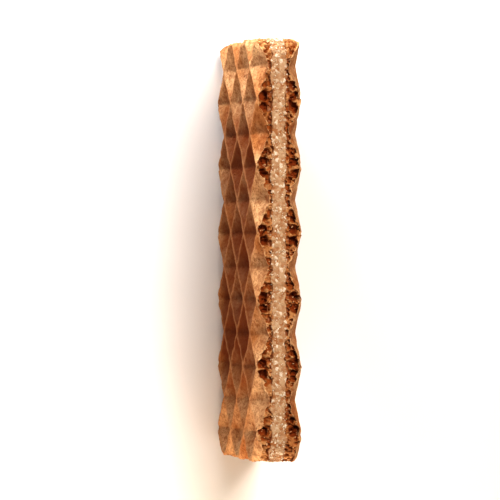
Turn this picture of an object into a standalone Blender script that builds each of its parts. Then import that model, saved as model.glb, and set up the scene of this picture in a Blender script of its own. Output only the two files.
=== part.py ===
"""Waffle cookie: two crisp halves with square pits, joined by a layer of sugar filling.

The cookie stands on one of its two long cut edges. X is its thickness, Y its length
and Z its width. The origin lies under its middle, on the surface that it stands on.
"""

import math

import bmesh
import bpy
import numpy as np
from mathutils import Matrix

# Driving dimensions, in metres.
LENGTH = 0.0945
THICKNESS = 0.0104
PIT_DIAGONAL = 0.0148
PITS_ACROSS = 3
CORNER_RADIUS = 0.0055
FILLING_THICKNESS = 0.0034
FIT_GAP = 0.0003

# The pits: square, set on their corners, so that the cut runs through a row of ridge crossings.
PIT_FLOOR = 0.0004
FIRST_PIT_FROM_END = 0.0066
RIDGE_CREST = 0.0002
SHOULDER_DEPTH = 0.0002
SHOULDER_WIDTH = 0.00026
PIT_TIP_RADIUS = 0.0004

# The crumb that the cuts open up.
LARGEST_BUBBLE = 0.0012
SMALLEST_BUBBLE = 0.00082
BUBBLE_TO_CRUMB = 0.37
BUBBLE_WALL = 0.0003
ROUND_BUBBLE = 0.00092
RAGGED_STEP = 0.0015
RAGGED_DEPTH = 0.0005
SUNK_SHARES = (0.1, 0.3)

# The filling: coarse sugar in fat.
GRAIN_STEP = 0.0013
GRAIN_RELIEF = 0.0003
FILLING_INSET = 0.0003
CRYSTAL_RADIUS = 0.00045
CRYSTAL_SPACING = 0.0026

# What follows from them.
WIDTH = PITS_ACROSS * PIT_DIAGONAL
HALF_THICKNESS = (THICKNESS - FILLING_THICKNESS) / 2 - FIT_GAP
INNER_X = FILLING_THICKNESS / 2 + FIT_GAP
PIT_DEPTH = HALF_THICKNESS - PIT_FLOOR
FIRST_PIT_Y = LENGTH / 2 - FIRST_PIT_FROM_END

ARC_STEPS = 5
FLAT_ANGLE = math.radians(0.5)
WELD = 1e-6
SEEDS = {"waffle_left": 11, "waffle_right": 23, "sugar_filling": 37}


def clear_scene():
    """Removes whatever the scene holds."""
    for obj in list(bpy.data.objects):
        bpy.data.objects.remove(obj, do_unlink=True)


def new_collection(name, hidden=False):
    collection = bpy.data.collections.new(name)
    collection.hide_render = hidden
    bpy.context.scene.collection.children.link(collection)
    return collection


def new_material(name, colour, roughness):
    """A Principled material of one plain colour, given as linear RGB."""
    material = bpy.data.materials.new(name)
    material.use_nodes = True
    shader = material.node_tree.nodes["Principled BSDF"]
    shader.inputs["Base Color"].default_value = (*colour, 1.0)
    shader.inputs["Roughness"].default_value = roughness
    shader.inputs["Metallic"].default_value = 0.0
    return material


def new_object(name, mesh, collection):
    obj = bpy.data.objects.new(name, mesh)
    collection.objects.link(obj)
    return obj


def hide_cutter(obj):
    obj.hide_render = True
    obj.display_type = "WIRE"


def baked_mesh(obj):
    """The object's evaluated mesh, with the object's transform in its points and its seams welded."""
    bpy.context.view_layer.update()
    graph = bpy.context.evaluated_depsgraph_get()
    mesh = bpy.data.meshes.new_from_object(obj.evaluated_get(graph))
    mesh.transform(obj.matrix_world)
    shape = bmesh.new()
    shape.from_mesh(mesh)
    bmesh.ops.remove_doubles(shape, verts=shape.verts, dist=WELD)
    bmesh.ops.dissolve_limit(shape, angle_limit=FLAT_ANGLE, verts=shape.verts, edges=shape.edges)
    bmesh.ops.recalc_face_normals(shape, faces=shape.faces)
    shape.to_mesh(mesh)
    shape.free()
    bpy.data.objects.remove(obj, do_unlink=True)
    return mesh


def thickness_at(y, z):
    """How thick a half is at a point of its plane: a pit falls evenly from its four sides to its centre."""
    along = ((y - FIRST_PIT_Y) / PIT_DIAGONAL) % 1.0
    up = (z / PIT_DIAGONAL) % 1.0
    from_centre = min(along, 1.0 - along) + min(up, 1.0 - up)
    share = min(from_centre, 1.0 - from_centre) * 2.0
    return PIT_FLOOR + PIT_DEPTH * share


def ragged_line(start, end, step, depth, random):
    """Points from start to end, a step apart, each set in by a random depth, the least by none."""
    count = max(2, round(abs(end - start) / step))
    along = np.linspace(start, end, count + 1)
    inward = random.uniform(0.0, depth, count + 1)
    return along, inward - inward.min()


def outline(inset, random, edge_step=None):
    """The outline in the plane of length and width: straight long edges, round corners, ragged ends.

    With a step, the upper long edge gets points too, set in like grains.
    """
    end = LENGTH / 2 - inset
    low, high = 0.0, WIDTH - inset
    radius = CORNER_RADIUS - inset
    points = []
    corners = (
        (end - radius, low + radius, -90),
        (end - radius, high - radius, 0),
        (radius - end, high - radius, 90),
        (radius - end, low + radius, 180),
    )
    for index, (centre_y, centre_z, first_angle) in enumerate(corners):
        for step in range(ARC_STEPS + 1):
            angle = math.radians(first_angle + 90 * step / ARC_STEPS)
            points.append((centre_y + radius * math.cos(angle), centre_z + radius * math.sin(angle)))
        if index in (0, 2):
            side = 1 if index == 0 else -1
            zs = (low + radius, high - radius)
            along, inward = ragged_line(*zs[::side], RAGGED_STEP, RAGGED_DEPTH, random)
            points += [(side * (end - depth), z) for z, depth in zip(along[1:-1], inward[1:-1])]
        elif index == 1 and edge_step:
            along, inward = ragged_line(end - radius, radius - end, edge_step, GRAIN_RELIEF, random)
            points += [(y, high - depth) for y, depth in zip(along[1:-1], inward[1:-1])]
    return points


def slab(name, points, x_low, x_high, collection):
    """The outline as a plate between two heights along X, made from a filled flat curve."""
    curve = bpy.data.curves.new(name, "CURVE")
    curve.dimensions = "2D"
    curve.fill_mode = "BOTH"
    curve.extrude = (x_high - x_low) / 2
    spline = curve.splines.new("POLY")
    spline.points.add(len(points) - 1)
    for point, (y, z) in zip(spline.points, points):
        point.co = (y, z, 0.0, 1.0)
    spline.use_cyclic_u = True
    flat = new_object(name + "_outline", curve, collection)
    flat.matrix_world = plane_frame(1).copy()
    flat.location = ((x_low + x_high) / 2, 0.0, 0.0)
    return new_object(name, baked_mesh(flat), collection)


def plane_frame(side):
    """Turns a shape drawn in XY so that it lies in the cookie's plane and its +Z points out at this side."""
    frame = Matrix(((0, 0, side), (1, 0, 0), (0, side, 0)))
    return frame.to_4x4()


def pit_mesh(collection):
    """One pit's cutter: a four-sided point with its mouth at height 0 and sloped shoulders there."""
    mouth = PIT_DIAGONAL / 2 - RIDGE_CREST
    profile = (
        (0.0, HALF_THICKNESS),
        (mouth, HALF_THICKNESS),
        (mouth, 0.0),
        (mouth - SHOULDER_WIDTH, -SHOULDER_DEPTH),
        (PIT_TIP_RADIUS, -PIT_DEPTH),
        (0.0, -PIT_DEPTH),
    )
    mesh = bpy.data.meshes.new("pit_profile")
    edges = [(index, index + 1) for index in range(len(profile) - 1)]
    mesh.from_pydata([(radius, 0.0, height) for radius, height in profile], edges, [])
    obj = new_object("pit_profile", mesh, collection)
    turn = obj.modifiers.new("Four sides", "SCREW")
    turn.steps = 4
    turn.render_steps = 4
    turn.use_merge_vertices = True
    turn.merge_threshold = 10 * WELD
    return baked_mesh(obj)


def pit_centres():
    """Centres of every pit that reaches the plate: each second row is set on by half a pit."""
    for row in range(2 * PITS_ACROSS + 1):
        y = FIRST_PIT_Y + PIT_DIAGONAL - (row % 2) * PIT_DIAGONAL / 2
        while y > -(LENGTH + PIT_DIAGONAL) / 2:
            if abs(y) < (LENGTH + PIT_DIAGONAL) / 2:
                yield y, row * PIT_DIAGONAL / 2
            y -= PIT_DIAGONAL


def bubbles(random):
    """Bubbles packed along the four cut edges, each as large as the crumb is thick there.

    Each is (y, z, x from the inner face, radius).
    """
    end = LENGTH / 2 - RAGGED_DEPTH / 2
    runs = (
        ((-1.0, 0.0), (end - CORNER_RADIUS, WIDTH), (0.0, -1.0), LENGTH - 2 * CORNER_RADIUS),
        ((1.0, 0.0), (CORNER_RADIUS - end, 0.0), (0.0, 1.0), LENGTH - 2 * CORNER_RADIUS),
        ((0.0, 1.0), (end, CORNER_RADIUS), (-1.0, 0.0), WIDTH - 2 * CORNER_RADIUS),
        ((0.0, 1.0), (-end, CORNER_RADIUS), (1.0, 0.0), WIDTH - 2 * CORNER_RADIUS),
    )
    for (along_y, along_z), (start_y, start_z), (in_y, in_z), run in runs:
        last_edge = 0.0
        for travelled in np.arange(SMALLEST_BUBBLE, run, BUBBLE_WALL / 2):
            y = start_y + along_y * travelled
            z = start_z + along_z * travelled
            crumb = thickness_at(y + in_y * LARGEST_BUBBLE / 2, z + in_z * LARGEST_BUBBLE / 2)
            radius = min(LARGEST_BUBBLE, BUBBLE_TO_CRUMB * crumb)
            if radius < SMALLEST_BUBBLE or travelled - radius < last_edge + BUBBLE_WALL:
                continue
            last_edge = travelled + radius
            radius *= random.uniform(0.85, 1.0)
            sunk = radius * random.uniform(*SUNK_SHARES)
            yield y + in_y * sunk, z + in_z * sunk, crumb * random.uniform(0.46, 0.52), radius


def combine(obj, tools, operation, solver):
    """Cuts the collection's objects from this one or joins them to it, for good, and removes them."""
    step = obj.modifiers.new(tools.name, "BOOLEAN")
    step.operation = operation
    step.operand_type = "COLLECTION"
    step.collection = tools
    step.solver = solver
    bpy.context.view_layer.update()
    graph = bpy.context.evaluated_depsgraph_get()
    mesh = bpy.data.meshes.new_from_object(obj.evaluated_get(graph))
    obj.modifiers.clear()
    obj.data = mesh
    for tool in list(tools.objects):
        bpy.data.objects.remove(tool, do_unlink=True)
    bpy.data.collections.remove(tools)


def add_ball(name, radius, rounds, centre, random, collection):
    """A faceted ball turned at random, as a helper for a Boolean."""
    shape = bmesh.new()
    bmesh.ops.create_icosphere(shape, subdivisions=rounds, radius=radius)
    mesh = bpy.data.meshes.new(name)
    shape.to_mesh(mesh)
    shape.free()
    ball = new_object(name, mesh, collection)
    ball.location = centre
    ball.rotation_euler = random.uniform(0.0, math.pi, 3)
    hide_cutter(ball)


def waffle_half(name, side, pit, collection, material):
    """One half: a plate with its flat face to the filling, pits in its outer face, crumb at its edges."""
    random = np.random.default_rng(SEEDS[name])
    x_low, x_high = sorted((side * INNER_X, side * (INNER_X + HALF_THICKNESS)))
    half = slab(name, outline(0.0, random), x_low, x_high, collection)

    pits = new_collection(name + "_pits", hidden=True)
    frame = plane_frame(side)
    for y, z in pit_centres():
        cutter = new_object("pit", pit, pits)
        cutter.matrix_world = Matrix.Translation((side * THICKNESS / 2, y, z)) @ frame
        hide_cutter(cutter)
    combine(half, pits, "DIFFERENCE", "EXACT")

    crumb = new_collection(name + "_crumb", hidden=True)
    for y, z, out, radius in bubbles(random):
        rounds = 2 if radius > ROUND_BUBBLE else 1
        add_ball("bubble", radius, rounds, (side * (INNER_X + out), y, z), random, crumb)
    combine(half, crumb, "DIFFERENCE", "MANIFOLD")

    half.data.materials.clear()
    half.data.materials.append(material)
    return half


def grainy_rim(obj, random):
    """Divides the rim of the filling across its thickness and sets the new points in and out like grains."""
    shape = bmesh.new()
    shape.from_mesh(obj.data)
    rungs = [edge for edge in shape.edges if abs(edge.verts[0].co.x - edge.verts[1].co.x) > GRAIN_STEP]
    bmesh.ops.subdivide_edges(shape, edges=rungs, cuts=2, use_grid_fill=False)
    for vertex in shape.verts:
        if vertex.co.z < WELD or abs(vertex.co.x) > FILLING_THICKNESS / 3:
            continue
        middle = vertex.co.copy()
        middle.x = 0.0
        middle.y = max(min(middle.y, LENGTH / 2 - CORNER_RADIUS), CORNER_RADIUS - LENGTH / 2)
        middle.z = max(min(middle.z, WIDTH - CORNER_RADIUS), CORNER_RADIUS)
        outward = vertex.co - middle
        outward.x = 0.0
        if outward.length > 0.0:
            vertex.co += outward.normalized() * random.uniform(-GRAIN_RELIEF, GRAIN_RELIEF)
    shape.to_mesh(obj.data)
    shape.free()


def crystal_places(random):
    """Where the coarse crystals sit: spread evenly along the top edge and both ends."""
    reach = FILLING_THICKNESS / 2 - CRYSTAL_RADIUS
    end = LENGTH / 2 - FILLING_INSET
    top = WIDTH - FILLING_INSET
    straight_y = end - CORNER_RADIUS
    for y in np.arange(-straight_y, straight_y, CRYSTAL_SPACING):
        yield random.uniform(-reach, reach), y + random.uniform(0.0, 0.5) * CRYSTAL_SPACING, top
    for z in np.arange(CORNER_RADIUS, WIDTH - CORNER_RADIUS, CRYSTAL_SPACING):
        for side in (-1, 1):
            yield random.uniform(-reach, reach), side * (end - CRYSTAL_RADIUS), z


def filling_layer(name, collection, material):
    """The filling: a plate with a grainy rim, and coarse sugar crystals fused to it."""
    random = np.random.default_rng(SEEDS[name])
    reach = FILLING_THICKNESS / 2
    points = outline(FILLING_INSET, random, edge_step=GRAIN_STEP)
    filling = slab(name, points, -reach, reach, collection)
    grainy_rim(filling, random)

    crystals = new_collection("crystals", hidden=True)
    for place in crystal_places(random):
        add_ball("crystal", CRYSTAL_RADIUS, 1, place, random, crystals)
    combine(filling, crystals, "UNION", "MANIFOLD")

    filling.data.materials.clear()
    filling.data.materials.append(material)
    return filling


def main():
    clear_scene()
    cookie = new_collection("Waffle cookie")
    baked = new_material("baked_waffle", (0.45, 0.20, 0.075), 0.75)
    sugar = new_material("sugar_filling", (0.66, 0.42, 0.23), 0.7)
    pit = pit_mesh(cookie)
    waffle_half("waffle_left", -1, pit, cookie, baked)
    waffle_half("waffle_right", 1, pit, cookie, baked)
    filling_layer("sugar_filling", cookie, sugar)


main()
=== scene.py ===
# %% [markdown]
# # A filled waffle cookie
#
# The real cookie is two crisp waffle halves with a layer of coarse sugar in fat between
# them. It is sawn to size after baking, so its long edges show open crumb and the filling.
# It stands on one of those cut edges, and the camera looks down on the other.
#
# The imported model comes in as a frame. Its three solids have the right size and form, but
# they are too coarse for crumb and grains. So each is replaced by a finer closed surface
# that numpy works out, which gives the same cookie each time the script runs.

# %% Load the frame
import itertools
import math

import bpy
import numpy as np
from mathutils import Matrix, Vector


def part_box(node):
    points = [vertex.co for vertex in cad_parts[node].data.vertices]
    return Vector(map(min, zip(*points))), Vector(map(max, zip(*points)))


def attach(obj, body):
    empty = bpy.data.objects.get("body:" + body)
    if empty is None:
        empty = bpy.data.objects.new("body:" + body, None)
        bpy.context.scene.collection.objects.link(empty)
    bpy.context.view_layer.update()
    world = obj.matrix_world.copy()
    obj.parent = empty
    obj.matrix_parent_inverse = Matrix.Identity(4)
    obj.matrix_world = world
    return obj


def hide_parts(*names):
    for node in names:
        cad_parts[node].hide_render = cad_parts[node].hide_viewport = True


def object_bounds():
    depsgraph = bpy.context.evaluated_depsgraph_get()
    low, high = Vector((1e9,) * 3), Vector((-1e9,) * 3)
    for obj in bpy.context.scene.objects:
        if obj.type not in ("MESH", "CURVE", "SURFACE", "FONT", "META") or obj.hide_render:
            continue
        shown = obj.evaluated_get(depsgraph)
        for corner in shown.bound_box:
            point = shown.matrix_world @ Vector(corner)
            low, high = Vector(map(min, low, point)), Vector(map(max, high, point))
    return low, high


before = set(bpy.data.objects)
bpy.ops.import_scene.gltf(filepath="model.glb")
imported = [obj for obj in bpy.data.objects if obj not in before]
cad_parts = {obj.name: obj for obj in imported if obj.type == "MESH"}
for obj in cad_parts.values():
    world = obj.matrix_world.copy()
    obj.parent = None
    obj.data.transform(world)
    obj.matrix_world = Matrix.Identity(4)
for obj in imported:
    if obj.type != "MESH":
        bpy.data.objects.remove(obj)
cad_box = [list(corner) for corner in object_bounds()]
low_corner, high_corner = np.array(cad_box)
print("CAD box in mm:", np.round(np.array(cad_box) * 1000, 2).tolist())

# %% [markdown]
# ## The camera
#
# The camera stands above the cookie and leans a little to the left, so the upper cut edge
# faces it and the patterned face of the left half shows in strong foreshortening. A short
# lens close by would splay the ends. A long lens from a metre away keeps the edges almost
# parallel, and it is worked out from the length of floor that the view has to hold.

# %% Camera
CAMERA_LEAN = math.radians(11.5)
CAMERA_DISTANCE = 1.0
VIEW_HEIGHT = 0.112
SENSOR = 36.0
FARTHEST_SEEN = 20.0
AIM_LEFT = 0.6
AIM_UP = 0.62

aim = np.array([low_corner[0] * AIM_LEFT, 0.0, high_corner[2] * AIM_UP])
toward_camera = np.array([-math.sin(CAMERA_LEAN), 0.0, math.cos(CAMERA_LEAN)])
camera_data = bpy.data.cameras.new("camera")
camera_data.sensor_width = SENSOR
camera_data.lens = SENSOR * CAMERA_DISTANCE / VIEW_HEIGHT
camera_data.clip_end = FARTHEST_SEEN
camera = bpy.data.objects.new("camera", camera_data)
camera.location = aim + CAMERA_DISTANCE * toward_camera
camera.rotation_euler = (0.0, -CAMERA_LEAN, 0.0)
bpy.context.scene.collection.objects.link(camera)
bpy.context.scene.camera = camera
print("lens in mm:", round(camera_data.lens, 1))

# %% [markdown]
# ## Sizes
#
# The pits are square and stand on their corners. Along the length a new pit begins every
# `PITCH`, and three of them fill the width, so that each saw cut runs through a row of
# ridge crossings. Seen at the cut, each half is a row of triangles of crumb. The sizes
# could be typed in, but they are read from the frame, so the two can't drift apart.

# %% Sizes from the frame
MM = 0.001
right_low, right_high = (np.array(corner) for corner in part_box("waffle_right"))
LENGTH = high_corner[1] - low_corner[1]
WIDTH = right_high[2] - right_low[2]
HALF_THICKNESS = right_high[0] - right_low[0]
INNER_X = right_low[0]
FILLING_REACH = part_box("sugar_filling")[1][0]

PITCH = WIDTH / 3
CORNER_RADIUS = 0.0055
FIRST_PIT_Y = LENGTH / 2 - 0.0066
PIT_FLOOR = 0.0004
PIT_DEPTH = HALF_THICKNESS - PIT_FLOOR
print("pitch, half and width in mm:", [round(float(size) / MM, 2) for size in (PITCH, HALF_THICKNESS, WIDTH)])

# %% [markdown]
# ## Two kinds of noise
#
# Baked things are uneven in two ways. Slow swells come from smooth noise, which blends
# random values on a lattice. Bubbles and grains come from cell noise, which measures how
# far a point is from the nearest of many scattered points. A displacement texture could
# give both, but worked out here in three dimensions they don't stretch where a surface
# turns a corner, and a bubble can know which skin it lies under.

# %% Smooth noise
TABLE_SIZE = 32
LATTICE_SHIFT = 500.0
CORNERS = list(itertools.product((0, 1), repeat=3))


def smooth_step(share):
    """3t^2 - 2t^3, which goes from 0 to 1 and is level at both ends."""
    return share * share * (3.0 - 2.0 * share)


def ease(value, low, high):
    """0 up to low, 1 from high on, and a smooth step between. With low above high it falls instead."""
    return smooth_step(np.clip((value - low) / (high - low), 0.0, 1.0))


def smooth_noise(points, cell, seed):
    """Values from -1 to 1: random numbers on a cubic lattice, with smooth steps between its corners."""
    table = np.random.default_rng(seed).uniform(-1.0, 1.0, (TABLE_SIZE,) * 3)
    scaled = points / cell + LATTICE_SHIFT
    base = np.floor(scaled).astype(int)
    share = smooth_step(scaled - base)
    total = np.zeros(points.shape[:-1])
    for corner in CORNERS:
        weight = np.prod(np.where(corner, share, 1.0 - share), axis=-1)
        i, j, k = np.moveaxis((base + corner) % TABLE_SIZE, -1, 0)
        total += weight * table[i, j, k]
    return total


def patches(points, height, cell, seed, low, high):
    """Spots of the given height, where smooth noise is above high. They fade out towards its value low."""
    return height * ease(smooth_noise(points, cell, seed), low, high)


print("a noise table holds", TABLE_SIZE**3, "values")

# %% [markdown]
# Cell noise searches the cell of each position and the 26 around it for the nearest
# scattered point. A sorted tree of points would also find it, but whole arrays are quick
# enough here and need no other library.

# %% Cell noise
NEIGHBOURS = list(itertools.product((-1, 0, 1), repeat=3))


def cell_noise(points, cell, seed):
    """(distance, tone): how many cells away the nearest scattered point is, and its own random number.

    Each cubic cell holds one point at a random place, and the 27 cells around a position are searched.
    """
    random = np.random.default_rng(seed)
    places = random.uniform(0.0, 1.0, (TABLE_SIZE,) * 3 + (3,))
    tones = random.uniform(0.0, 1.0, (TABLE_SIZE,) * 3)
    scaled = points / cell + LATTICE_SHIFT
    base = np.floor(scaled).astype(int)
    best = np.full(points.shape[:-1], np.inf)
    tone = np.zeros(points.shape[:-1])
    for step in NEIGHBOURS:
        i, j, k = np.moveaxis((base + step) % TABLE_SIZE, -1, 0)
        away = np.linalg.norm(base + step + places[i, j, k] - scaled, axis=-1)
        nearer = away < best
        best = np.where(nearer, away, best)
        tone = np.where(nearer, tones[i, j, k], tone)
    return best, tone


print("cells searched for each position:", len(NEIGHBOURS))

# %% [markdown]
# ## The outline
#
# The corners in the cookie's plane are round. A rectangular grid could be cut with a round
# tool shape, which leaves slivers. Here it is bent to the outline instead. In each corner
# square the outer sides become a quarter circle, and the inner sides stay where they are.

# %% Round corners
STRAIGHT_Y = LENGTH / 2 - CORNER_RADIUS
STRAIGHT_Z = WIDTH / 2 - CORNER_RADIUS
NO_LENGTH = 1e-12


def flat_places(y, z):
    """The points (y, z, 0), at which noise over the cookie's plane is looked up."""
    return np.stack([y, z, np.zeros_like(y)], axis=-1)


def bend_corners(y, z):
    """In each corner square the point (u, v) moves to (u sqrt(1 - v v / 2), v sqrt(1 - u u / 2))."""
    up = z - WIDTH / 2
    u = np.clip((np.abs(y) - STRAIGHT_Y) / CORNER_RADIUS, 0.0, 1.0)
    v = np.clip((np.abs(up) - STRAIGHT_Z) / CORNER_RADIUS, 0.0, 1.0)
    new_y = np.minimum(np.abs(y), STRAIGHT_Y) + CORNER_RADIUS * u * np.sqrt(1.0 - v * v / 2.0)
    new_up = np.minimum(np.abs(up), STRAIGHT_Z) + CORNER_RADIUS * v * np.sqrt(1.0 - u * u / 2.0)
    return np.sign(y) * new_y, np.sign(up) * new_up + WIDTH / 2


def outward(y, z):
    """(direction, distance): the way to the nearest point of the outline, and how far it is.

    The distance is the corner radius less the way past the straight parts, measured along the direction.
    """
    up = z - WIDTH / 2
    past_y, past_z = np.abs(y) - STRAIGHT_Y, np.abs(up) - STRAIGHT_Z
    corner = (past_y > 0.0) & (past_z > 0.0)
    to_end = past_y > past_z
    length = np.maximum(np.hypot(past_y, past_z), NO_LENGTH)
    part_y = np.where(corner, past_y / length, np.where(to_end, 1.0, 0.0))
    part_z = np.where(corner, past_z / length, np.where(to_end, 0.0, 1.0))
    distance = CORNER_RADIUS - np.where(corner, length, np.maximum(past_y, past_z))
    return np.stack([np.sign(y) * part_y, np.sign(up) * part_z], axis=-1), distance


straight_parts = [round(2 * float(part) / MM, 1) for part in (STRAIGHT_Y, STRAIGHT_Z)]
print("straight part of the cuts and the ends in mm:", straight_parts)

# %% [markdown]
# ## A ragged outline
#
# The saw takes a little off, and the two short ends are broken rather than cut. A ruled
# outline would look stamped from card. Noise sets it in, and the change fades away over a
# few millimetres, so the pits behind it keep their form. The creases wander a little too.

# %% Ragged outline
CUT_RAGGED = 0.16 * MM
END_RAGGED = 0.8 * MM
END_STARTS = (LENGTH / 2 - 3 * MM, LENGTH / 2 - 0.5 * MM)
RAGGED_REACH = 2.5 * MM
WIDE_TEETH = 2.1 * MM
FINE_TEETH = 0.6 * MM
WANDER = 0.22 * MM
WANDER_CELL = 3.2 * MM
WANDER_STARTS = (0.2 * MM, 1.5 * MM)


def wander(y, z, seed):
    """Moves points sideways by slow noise, so that no crease is a ruled line. It fades at the outline."""
    places = flat_places(y, z)
    _, distance = outward(y, z)
    reach = WANDER * ease(distance, *WANDER_STARTS)
    shift_y = reach * smooth_noise(places, WANDER_CELL, seed + 4)
    shift_z = reach * smooth_noise(places, WANDER_CELL, seed + 5)
    return y + shift_y, z + shift_z


def outline_places(y, z, seed):
    """Bends the corners, then sets the outline in by noise that fades away over a few millimetres."""
    y, z = bend_corners(y, z)
    direction, distance = outward(y, z)
    places = flat_places(y, z)
    teeth = 0.35 * smooth_noise(places, WIDE_TEETH, seed) + 0.15 * smooth_noise(places, FINE_TEETH, seed + 1)
    ragged = CUT_RAGGED + (END_RAGGED - CUT_RAGGED) * ease(np.abs(y), *END_STARTS)
    fade = np.clip(1.0 - distance / RAGGED_REACH, 0.0, 1.0)
    depth = ragged * np.clip(0.5 + teeth, 0.0, 1.0) * fade
    return y - direction[..., 0] * depth, z - direction[..., 1] * depth


print("set in by up to, in mm, at the cuts:", CUT_RAGGED / MM, "at the ends:", END_RAGGED / MM)

# %% [markdown]
# ## The pattern of pits
#
# Every point of a half has a place (y, z) in the cookie's plane and a thickness there. Pits
# could be pushed into a plate with cutting shapes, one for each. A triangle wave along y
# and another along z add up to the same square pits on their corners, all at once. The
# waves are slightly rounded, because batter doesn't fill an iron's edges to a point.

# %% Pits and ridges
CREASE_SHARPNESS = 0.9975
CREST_ROUNDING = 0.035


def soft_triangle(turns):
    """A triangle wave from 0 at whole turns to 0.5 between them: arcsin(k cos) with k just under 1."""
    wave = np.arcsin(CREASE_SHARPNESS * np.cos(2.0 * np.pi * turns)) / np.arcsin(CREASE_SHARPNESS)
    return 0.25 * (1.0 - wave)


def ridge_share(y, z):
    """0 at a pit's centre and 1 on a ridge: the two waves' sum s gives 1 - |2s - 1|, with a rounded crest."""
    total = soft_triangle((y - FIRST_PIT_Y) / PITCH) + soft_triangle(z / PITCH)
    return 1.0 - (np.sqrt((2.0 * total - 1.0) ** 2 + CREST_ROUNDING**2) - CREST_ROUNDING)


print("ridge share at a pit and beside it:", [
    round(float(ridge_share(FIRST_PIT_Y - part * PITCH, 0.0)), 2) for part in (0.0, 0.25, 0.5)
])

# %% [markdown]
# ## Wear
#
# No two pits of a real waffle are alike. The batter swells, its surface is grainy, the
# ridges are rubbed down in places, and the saw chips the thin rim. All of this is thickness
# added or taken away by noise of different widths. Sculpting would give it too, but noise
# needs no hand and stays even over the whole face.

# %% Thickness of a half
SWELLS = (0.07 * MM, 5.0 * MM)
GRAIN = (0.06 * MM, 1.3 * MM)
FINE_GRAIN = (0.04 * MM, 0.7 * MM)
WORN = (0.16 * MM, 2.4 * MM)
BITES = (0.45 * MM, 1.7 * MM)
NICKS = (0.35 * MM, 0.7 * MM)
BROKEN_END = 0.45
BROKEN_UNEVEN = 0.35
BROKEN_CELL = 0.9 * MM
BROKEN_REACH = (1.6 * MM, 0.2 * MM)
CHIP_REACH = (1.0 * MM, 0.1 * MM)
CREST_SHARE = (0.85, 1.0)
CLEARANCE = 0.03 * MM
THINNEST = 0.25 * MM


def uneven(points, size, seed):
    """Smooth noise of a given (height, width of a swell)."""
    height, cell = size
    return height * smooth_noise(points, cell, seed)


def half_thickness(y, z, seed):
    """The pit floor plus the ridge share of the pit depth, with swells and grain, less wear and chips."""
    places = flat_places(y, z)
    share = ridge_share(y, z)
    _, from_cut = outward(y, z)
    from_end = LENGTH / 2 - np.abs(y)
    grain = uneven(places, GRAIN, seed + 1) + uneven(places, FINE_GRAIN, seed + 2)
    worn = patches(places, *WORN, seed + 3, 0.1, 0.7) * ease(share, *CREST_SHARE)
    broken = BROKEN_END + BROKEN_UNEVEN * smooth_noise(places, BROKEN_CELL, seed + 6)
    broken = ease(from_end, *BROKEN_REACH) * broken * MM
    chips = patches(places, *BITES, seed + 7, 0.0, 0.7) + patches(places, *NICKS, seed + 9, 0.0, 0.8)
    chips = chips * ease(from_cut, *CHIP_REACH)
    thickness = PIT_FLOOR + PIT_DEPTH * share + uneven(places, SWELLS, seed) + grain
    thickness = thickness - worn - broken * share - chips - CLEARANCE
    return np.clip(thickness, THINNEST, HALF_THICKNESS)


print("thickness at a ridge and a pit in mm:", [
    round(float(half_thickness(np.array(y), np.array(0.0), 1)) / MM, 2)
    for y in (FIRST_PIT_Y - PITCH / 2, FIRST_PIT_Y)
])

# %% [markdown]
# ## Where the waffle is painted darker
#
# The middle of the patterned face is painted darker than its rim and ends, as painted shade.
# The colour could be painted by hand. Here a share is worked out for every point and stored on
# the mesh, and the finish reads it later. On this cookie the painted shade reaches nearer to the lower cut.

# %% Browned share
SHADE_BELOW_TOP = (4.0 * MM, 9.5 * MM)
SHADE_ABOVE_FLOOR = (0.0, 5.5 * MM)
SHADE_FROM_END = (7.0 * MM, 26.0 * MM)
SHADE_PATCH = 9.0 * MM


# The share of painted shade: 1 where the face is painted darkest, 0 where it keeps its own colour.
def painted_shade_share(y, z, seed):
    """1 in the middle and 0 near the upper cut and the ends: three eases multiplied, with slow noise."""
    from_end = LENGTH / 2 - np.abs(y)
    across = ease(WIDTH - z, *SHADE_BELOW_TOP) * ease(z, *SHADE_ABOVE_FLOOR)
    middle = across * ease(from_end, *SHADE_FROM_END)
    patch = smooth_noise(flat_places(y, z), SHADE_PATCH, seed + 8)
    return np.clip(middle * (0.9 + 0.35 * patch), 0.0, 1.0)


middle_shade = float(painted_shade_share(np.array(0.0), np.array(WIDTH / 2), 1))
print("browned share in the middle:", round(middle_shade, 2))

# %% [markdown]
# ## Sewing loops together
#
# A half is one closed skin: a grid over its patterned face, a much finer band round its cut
# edges, and a flat back. One even grid fine enough for the crumb would be far too heavy.
# Where a coarse loop of points meets a fine one, both are walked round at once, and each
# step makes a triangle with whichever point comes next.

# %% Sewing
def zip_loops(inner, inner_turn, outer, outer_turn):
    """Triangles between two closed loops of point numbers, each with its turn from 0 to 4 in rising order."""
    turns = np.concatenate([inner_turn, outer_turn])
    from_inner = np.concatenate([np.ones(len(inner), bool), np.zeros(len(outer), bool)])
    order = np.argsort(turns, kind="stable")
    advance_inner = from_inner[order]
    inner_at = np.cumsum(advance_inner) - 1
    outer_at = np.cumsum(~advance_inner) - 1
    before_inner = np.where(advance_inner, inner_at - 1, inner_at)
    before_outer = np.where(advance_inner, outer_at, outer_at - 1)
    apex = np.where(advance_inner, inner[inner_at], outer[outer_at])
    return np.stack([inner[before_inner], outer[before_outer], apex], axis=1)


def band_faces(loops):
    """Four-sided faces between rows of closed loops, given as a (rows, points) array of point numbers."""
    here, following = loops[:-1], loops[1:]
    quads = [here, np.roll(here, -1, axis=1), np.roll(following, -1, axis=1), following]
    return np.stack([corner.ravel() for corner in quads], axis=1)


quad = band_faces(np.arange(6).reshape(2, 3))[0]
print("first face between loops of three points:", quad.tolist())

# %% [markdown]
# A loop is a list of points in order, each with its turn: 0 at the first corner and 4 when
# it is back there. Two loops with turns can be sewn whatever their number of points. A flat
# side could close on one point, but its triangles would be long slivers, so it closes on a
# short row of points, the spine, which counts as a loop when it is walked there and back.

# %% Loops and spines
SPINE_STEPS = 30


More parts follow.
